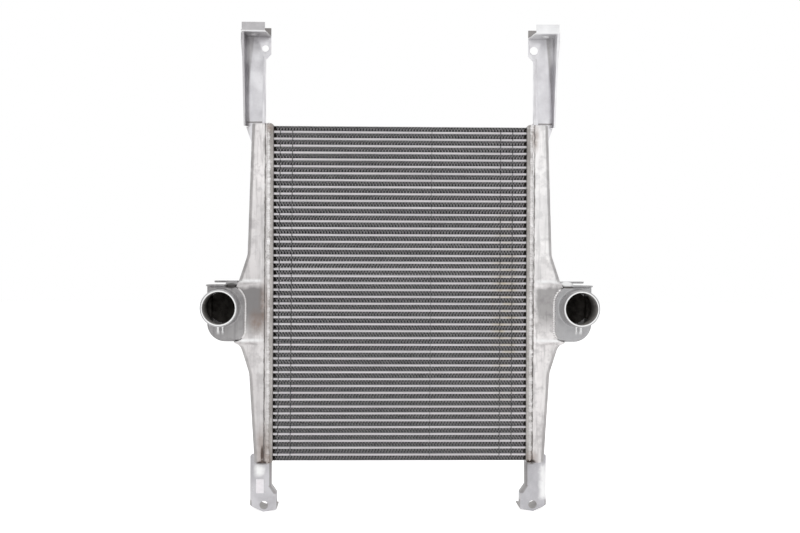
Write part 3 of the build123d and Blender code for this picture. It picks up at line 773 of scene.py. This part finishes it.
def beadTree():
    # a round bead along the given curve, with ripples, lumps and a slight wander
    given = newTree("weldBead", Int=["Sides"], Float=[
        "Radius", "Step", "First Pitch", "Last Pitch", "Ripple", "Lumps", "Lump Scale", "Wander", "Seed"])
    fine = geo("ResampleCurve", {"Curve": given["Geometry"], "Length": given["Step"]}, mode="LENGTH")
    spline = addNode("GeometryNodeSplineParameter").outputs
    first, last = (math2("DIVIDE", 1.0, given[side]) for side in ("First Pitch", "Last Pitch"))
    gain = product(product(minus(last, first), 0.5), spline["Factor"])
    turns = product(spline["Length"], plus(first, gain))
    crest = minus(math2("POWER", math2("FRACT", turns), 0.6), 0.5)
    bulk = addNode("ShaderNodeTexNoise", {"Scale": given["Lump Scale"], "Detail": 2.0, "W": given["Seed"]},
                   noise_dimensions="4D").outputs
    lump = product(minus(bulk["Fac"], 0.5), given["Lumps"])
    growth = plus(product(crest, given["Ripple"]), lump)
    size = plus(growth, 1.0)
    kept = geo("StoreNamedAttribute", {"Geometry": fine, "Name": "swell", "Value": plus(growth, 0.5)},
               data_type="FLOAT", domain="POINT")
    shift = output("ShaderNodeVectorMath", {0: bulk["Color"], 1: (0.5, 0.5, 0.5)}, operation="SUBTRACT")
    shift = output("ShaderNodeVectorMath", {0: shift, "Scale": given["Wander"]}, operation="SCALE")
    moved = geo("SetPosition", {"Geometry": kept, "Offset": shift})
    section = geo("CurvePrimitiveCircle", {"Resolution": given["Sides"], "Radius": given["Radius"]}, mode="RADIUS")
    sized = geo("SetCurveRadius", {"Curve": moved, "Radius": size})
    swept = addNode("GeometryNodeCurveToMesh", {"Curve": sized, "Profile Curve": section, "Fill Caps": True})
    if "Scale" in swept.inputs:
        setInputs(swept, {"Scale": size})
    smooth = geo("SetShadeSmooth", {"Geometry": swept.outputs[0]})
    return endTree(given, geo("RealizeInstances", {0: smooth}))


def pathObject(name, routes, closed):
    curve = bpy.data.curves.new(name, "CURVE")
    curve.dimensions = "3D"
    for route in routes:
        spline = curve.splines.new("POLY")
        spline.points.add(len(route) - 1)
        for point, place in zip(spline.points, route):
            point.co = (*place, 1)
        spline.use_cyclic_u = closed
    return addObject(name, curve)


beads = beadTree()
weldBeads = {
    "header": {"Radius": 0.0055, "Step": 0.0011, "Sides": 14, "First Pitch": 0.0052, "Last Pitch": 0.0052,
               "Ripple": 0.16, "Lumps": 1.3, "Lump Scale": 90.0, "Wander": 0.0048,
               "seed": 3.0, "sunk": 0.0035, "corner": 0.004, "steps": 24},
    "elbowRight": {"Radius": 0.0036, "Step": 0.0007, "Sides": 10, "First Pitch": 0.0075, "Last Pitch": 0.0044,
                   "Ripple": 0.55, "Lumps": 0.3, "Lump Scale": 110.0, "Wander": 0.0006, "seed": 8.0},
    "elbowLeft": {"Radius": 0.0032, "Step": 0.0007, "Sides": 10, "First Pitch": 0.004, "Last Pitch": 0.004,
                  "Ripple": 0.12, "Lumps": 0.35, "Lump Scale": 80.0, "Wander": 0.0008, "seed": 8.0},
    "bracket": {"Radius": 0.0027, "Step": 0.0007, "Sides": 10, "First Pitch": 0.0042, "Last Pitch": 0.0042,
                "Ripple": 0.22, "Lumps": 0.25, "Lump Scale": 110.0, "Wander": 0.0007,
                "seed": 12.0, "sunk": 0.001, "leg": 0.005},
}
elbowSeam = {"topRadius": 0.045, "bottomRadius": 0.03, "end": 0.006, "sunk": 0.0014, "arc": 10}


def bead(name, kind, routes, closed, way, replaced):
    values = {**weldBeads[kind], "Seed": weldBeads[kind]["seed"] + way, "Material": nodeFinish[replaced]}
    piece = bake(name, beads, values, pathObject(name + "Path", routes, closed))
    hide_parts(replaced)


def headerBeads(side, way):
    look = weldBeads["header"]
    low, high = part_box("header_plate_" + side)
    front, rear = low[1] + look["sunk"], high[1] - look["sunk"]
    bottom, top, cut = low[2] + look["sunk"], high[2] - look["sunk"], look["corner"]
    steps = [n / look["steps"] for n in range(look["steps"] + 1)]
    (lowX, highX), rise = weldLines[side]["middle"], top - bottom - 2 * cut
    climb = [(way * (lowX + (highX - lowX) * t), bottom + cut + rise * t) for t in steps]
    route = [(x, front, z) for x, z in climb] + [(way * highX, front + cut, top), (way * highX, rear - cut, top)]
    route += [(x, rear, z) for x, z in reversed(climb)]
    route += [(way * lowX, rear - cut, bottom), (way * lowX, front + cut, bottom)]
    bead("headerBead" + side.capitalize(), "header", [route], True, way, "header_weld_" + side)


def elbowBeads(side, way):
    look = elbowSeam
    low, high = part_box("elbow_" + side)
    inner = low[0] if way > 0 else high[0]
    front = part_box("tank_" + side)[0][1]
    bottom, top = low[2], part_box("elbow_weld_" + side)[1][2] + look["end"]
    turns = [math.pi / 2 * n / look["arc"] for n in range(look["arc"] + 1)]
    points = []
    for radius, edge, up in ((look["topRadius"], top, 1), (look["bottomRadius"], bottom, -1)):
        corner = [(inner + way * radius * (1 - math.cos(t)), edge - up * radius * (1 - math.sin(t))) for t in turns]
        points += corner[::-1] if up > 0 else corner
    points = [(x, z) for x, z in points if bottom + look["end"] < z < top - look["end"]]
    routes = [[(x, y, z) for x, z in points] for y in (front + look["sunk"], -look["sunk"])]
    tail = side.capitalize()
    bead("elbowBead" + tail, "elbow" + tail, routes, False, way, "elbow_weld_" + side)


def bracketBeads(kind, side, way):
    # in the corners between a bracket's web and the tank's end, and behind it at the lap's end
    look = weldBeads["bracket"]
    low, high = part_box(kind + "_weld_" + side)
    out = -1 if kind == "lower" else 1
    webEnd, lapEnd = low[2] + look["leg"], high[2] - look["leg"]
    if kind == "upper":
        webEnd, lapEnd = lapEnd, webEnd
    routes = [[(x, -look["sunk"], webEnd + out * look["sunk"]) for x in (low[0], high[0])],
              [(x, look["sunk"], lapEnd - out * look["sunk"]) for x in (low[0], high[0])]]
    bead(kind + "Bead" + side.capitalize(), "bracket", routes, False, way, kind + "_weld_" + side)


for side, way in (("left", -1), ("right", 1)):
    headerBeads(side, way)
    elbowBeads(side, way)
    bracketBeads("upper", side, way)
    bracketBeads("lower", side, way)
print("weld beads laid")


# Castings with soft edges, and sheet parts with broken edges

castSkin = {
    "tank": {"voxel": 0.0021, "rounds": 7, "keep": 0.3}, "elbow": {"voxel": 0.0012, "rounds": 3, "keep": 0.4},
    "flat": math.radians(0.3), "sharp": math.radians(60),
}
sheetEdge = {"width": 0.0005, "segments": 2, "angle": math.radians(40)}


def fromAxis(place):
    return math.hypot(abs(place[0]) - stub["x"], place[2] - stub["z"])


def chamferMouth(form):
    # breaks the outer edge of the hose stub's mouth
    def onRim(vert):
        return abs(vert.co.y - stub["front"]) < 1e-5 and fromAxis(vert.co) > stub["outer"] - 0.0005
    rim = [edge for edge in form.edges if all(onRim(vert) for vert in edge.verts)]
    bmesh.ops.bevel(form, geom=rim, offset=stub["lip"], segments=1, profile=0.5, affect="EDGES")


boss = {"centre": (0.433, -0.0695, 0.5892), "radius": 0.017, "tilt": math.radians(22), "drop": 0.0055}


def lowerBoss(form):
    # the disc on the elbow's shoulder sits a little lower, still leaning forward
    axis = Vector((0, -math.sin(boss["tilt"]), math.cos(boss["tilt"])))
    for vert in form.verts:
        away = Vector((abs(vert.co.x), vert.co.y, vert.co.z)) - Vector(boss["centre"])
        if abs(away.dot(axis)) < 0.0005 and away.length < boss["radius"]:
            vert.co -= axis * boss["drop"]


def mergedCopy(nodeName, name):
    mesh = bpy.data.meshes.new(name)
    form = bmesh.new()
    form.from_mesh(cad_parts[nodeName].data)
    bmesh.ops.remove_doubles(form, verts=form.verts, dist=mergeDistance)
    bmesh.ops.dissolve_limit(form, angle_limit=castSkin["flat"], verts=form.verts, edges=form.edges)
    if nodeName.startswith("elbow_"):
        chamferMouth(form)
        lowerBoss(form)
    form.to_mesh(mesh)
    form.free()
    return addObject(name, mesh)


def settle(piece, nodeName, sharpAngle):
    # replaces the object's mesh by its modifiers' result, then hands the piece over
    mesh = applied(piece)
    piece.modifiers.clear()
    mesh.name = piece.name
    piece.data = mesh
    mesh.materials.clear()
    mesh.materials.append(nodeFinish[nodeName])
    mesh.shade_smooth()
    mesh.set_sharp_from_angle(angle=sharpAngle)
    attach(piece, "root")
    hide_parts(nodeName)


def inBore(place):
    return place[1] > stub["front"] + stub["mouth"] and fromAxis(place) < stub["bore"] + stub["slack"]


def inLitBore(place):
    return inBore(place) and place[1] <= stub["front"] + stub["litDepth"]


def inCavity(place):
    rear = cavity["bulgeRear"] if abs(place[0]) > cavity["bulgeStart"] else cavity["rear"]
    return inBore(place) and stub["front"] + stub["litDepth"] < place[1] < rear


def buildHeader(side):
    piece = mergedCopy("header_plate_" + side, "headerPan" + side.capitalize())
    settle(piece, "header_plate_" + side, sheetEdge["angle"])
    shadeFaces(piece.data, lambda place: abs(place[0]) < headerInner + headerFinish["shadeDepth"], innerShade)


def buildCasting(kind, side):
    piece, look = mergedCopy(kind + "_" + side, kind + "Casting" + side.capitalize()), castSkin[kind]
    skin = piece.modifiers.new("skin", "REMESH")
    skin.mode, skin.voxel_size = "VOXEL", look["voxel"]
    soften = piece.modifiers.new("soften", "SMOOTH")
    soften.factor, soften.iterations = 0.5, look["rounds"]
    thin = piece.modifiers.new("thin", "DECIMATE")
    thin.ratio = look["keep"]
    settle(piece, kind + "_" + side, castSkin["sharp"])
    if kind == "elbow":
        shadeFaces(piece.data, inCavity, innerShade)
        shadeFaces(piece.data, inLitBore, boreWall)
    return piece


def buildSheet(nodeName, name):
    piece = mergedCopy(nodeName, name)
    edge = piece.modifiers.new("edge", "BEVEL")
    edge.width, edge.segments = sheetEdge["width"], sheetEdge["segments"]
    edge.limit_method, edge.angle_limit = "ANGLE", sheetEdge["angle"]
    settle(piece, nodeName, sheetEdge["angle"])


for side in ("left", "right"):
    for kind in ("tank", "elbow"):
        piece = buildCasting(kind, side)
        print(piece.name, len(piece.data.polygons), "faces")
    buildHeader(side)
    tail = side.capitalize()
    buildSheet("upper_bracket_" + side, "upperBracket" + tail)
    buildSheet("lower_bracket_" + side, "lowerBracket" + tail)
    buildSheet("upper_tray_" + side, "upperTray" + tail)
print("castings and sheet parts dressed")


# The blank label on the left lower bracket

label = {"centre": (-0.365, 0.0502), "width": 0.0205, "height": 0.037, "corner": 0.0012, "thickness": 0.00025,
         "gap": 0.00005, "columns": 8, "rows": 14, "lift": 0.0005}


def buildLabel():
    look = label
    form = bmesh.new()
    columns, rows = look["columns"], look["rows"]
    grid = []
    for row in range(rows + 1):
        line = []
        for column in range(columns + 1):
            u, v = column / columns * 2 - 1, row / rows * 2 - 1
            x, z = u * look["width"] / 2, v * look["height"] / 2
            edge = look["corner"] * (1 - 1 / math.sqrt(2))
            if abs(u) == 1 and abs(v) == 1:
                x, z = x - math.copysign(edge, x), z - math.copysign(edge, z)
            curl = look["lift"] * max(0.0, (u + v) / 2) ** 4  # one corner has started to lift
            depth = -look["thickness"] - look["gap"] - curl
            line.append(form.verts.new((look["centre"][0] + x, depth, look["centre"][1] + z)))
        grid.append(line)
    for lower, upper in zip(grid, grid[1:]):
        for n in range(columns):
            form.faces.new((lower[n], lower[n + 1], upper[n + 1], upper[n]))
    mesh = bpy.data.meshes.new("blankLabel")
    form.to_mesh(mesh)
    form.free()
    piece = addObject("blankLabel", mesh)
    wall = piece.modifiers.new("wall", "SOLIDIFY")
    wall.thickness, wall.offset = look["thickness"], -1
    mesh.materials.append(labelFilm)
    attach(piece, "root")


buildLabel()
print("label placed")


# Floor, light and camera

stageLook = {
    "floorSize": 40.0, "floorColor": (0.8, 0.8, 0.8), "floorGlow": 0.84, "floorMirror": 0.62,
    "cameraWhite": 1.0, "skyStrength": 0.55, "mirrorStrength": 1.15,
    "wing": 0.6, "wingFade": 1.6, "overhead": 0.7,  # how dark the studio is at the sides, how fast it turns
    "key": {"place": (0.6, -3.9, 2.6), "target": (0.0, 0.0, 0.6), "size": 2.6, "power": 34.0},
    "fill": {"place": (-1.6, -3.8, 0.9), "target": (0.0, 0.0, 0.6), "size": 2.2, "power": 14.0},
    "top": {"place": (0.0, 0.9, 3.2), "target": (0.0, 0.0, 0.8), "size": 2.2, "power": 14.0},
}


def viewRays():
    # 1 for rays straight from the camera, and 1 for rays by way of a mirror or glass
    paths = addNode("ShaderNodeLightPath").outputs
    return paths["Is Camera Ray"], math2("MAXIMUM", paths["Is Glossy Ray"], paths["Is Transmission Ray"])


def buildStage():
    look = stageLook
    floorMesh = bpy.data.meshes.new("floor")
    half, height = look["floorSize"] / 2, cadBox[0][2]
    corners = [(x * half, y * half, height) for x, y in ((-1, -1), (1, -1), (1, 1), (-1, 1))]
    floorMesh.from_pydata(corners, [], [(0, 1, 2, 3)])
    floor = addObject("floor", floorMesh)
    material, shader = newMaterial("floorPaper", look["floorColor"])
    seen, mirrored = viewRays()
    seen = product(seen, look["floorGlow"])
    glow = math2("MAXIMUM", seen, product(mirrored, look["floorMirror"]))
    setInputs(shader, {"Base Color": look["floorColor"], "Roughness": 0.9, "Specular IOR Level": 0.0,
                       "Emission Color": (1, 1, 1), "Emission Strength": glow})
    floorMesh.materials.append(material)

    world = bpy.data.worlds.new("studio")
    bpy.context.scene.world = world
    world.use_nodes = True
    working["tree"] = world.node_tree
    seen, mirrored = viewRays()
    aim = split(addNode("ShaderNodeTexCoord").outputs["Generated"])
    facing = math2("POWER", math2("ABSOLUTE", aim[1]), look["wingFade"])
    overhead = product(math2("MAXIMUM", aim[2], 0.0), look["overhead"])
    around = remap(math2("MAXIMUM", facing, overhead), 0.0, 1.0, look["wing"], 1.0)
    soft = remap(mirrored, 0.0, 1.0, look["skyStrength"], look["mirrorStrength"])
    soft = product(soft, around)
    strength = remap(seen, 0.0, 1.0, soft, look["cameraWhite"])
    setInputs(world.node_tree.nodes["Background"], {"Color": (1, 1, 1), "Strength": strength})

    for name in ("key", "fill", "top"):
        lampLook = look[name]
        lamp = bpy.data.lights.new(name, "AREA")
        lamp.shape, lamp.size, lamp.energy = "SQUARE", lampLook["size"], lampLook["power"]
        holder = addObject(name, lamp)
        holder.location = lampLook["place"]
        holder.visible_glossy = False  # the metal mirrors the studio, not the lamps
        aim = Vector(lampLook["target"]) - Vector(lampLook["place"])
        holder.rotation_euler = aim.to_track_quat("-Z", "Y").to_euler()


cameraLook = {
    "place": (-0.098, -3.1627, 0.61775), "yaw": 1.8, "pitch": 0.196, "roll": 0.194, "lens": 53.97, "sensor": 36.0,
}


def buildCamera():
    look = cameraLook
    yaw, pitch, roll = (math.radians(look[name]) for name in ("yaw", "pitch", "roll"))
    forward = Vector((math.sin(yaw) * math.cos(pitch), math.cos(yaw) * math.cos(pitch), math.sin(pitch)))
    level = Vector((math.cos(yaw), -math.sin(yaw), 0))
    upright = level.cross(forward)
    right = math.cos(roll) * level + math.sin(roll) * upright
    up = -math.sin(roll) * level + math.cos(roll) * upright
    data = bpy.data.cameras.new("view")
    data.lens, data.sensor_width, data.sensor_fit = look["lens"], look["sensor"], "HORIZONTAL"
    data.clip_end = 100
    camera = addObject("view", data)
    turn = Matrix((right, up, -forward)).transposed()
    camera.matrix_world = Matrix.Translation(look["place"]) @ turn.to_4x4()
    bpy.context.scene.camera = camera


buildStage()
buildCamera()
bpy.context.scene.view_settings.view_transform = "Standard"
print("stage, lamps and camera set")
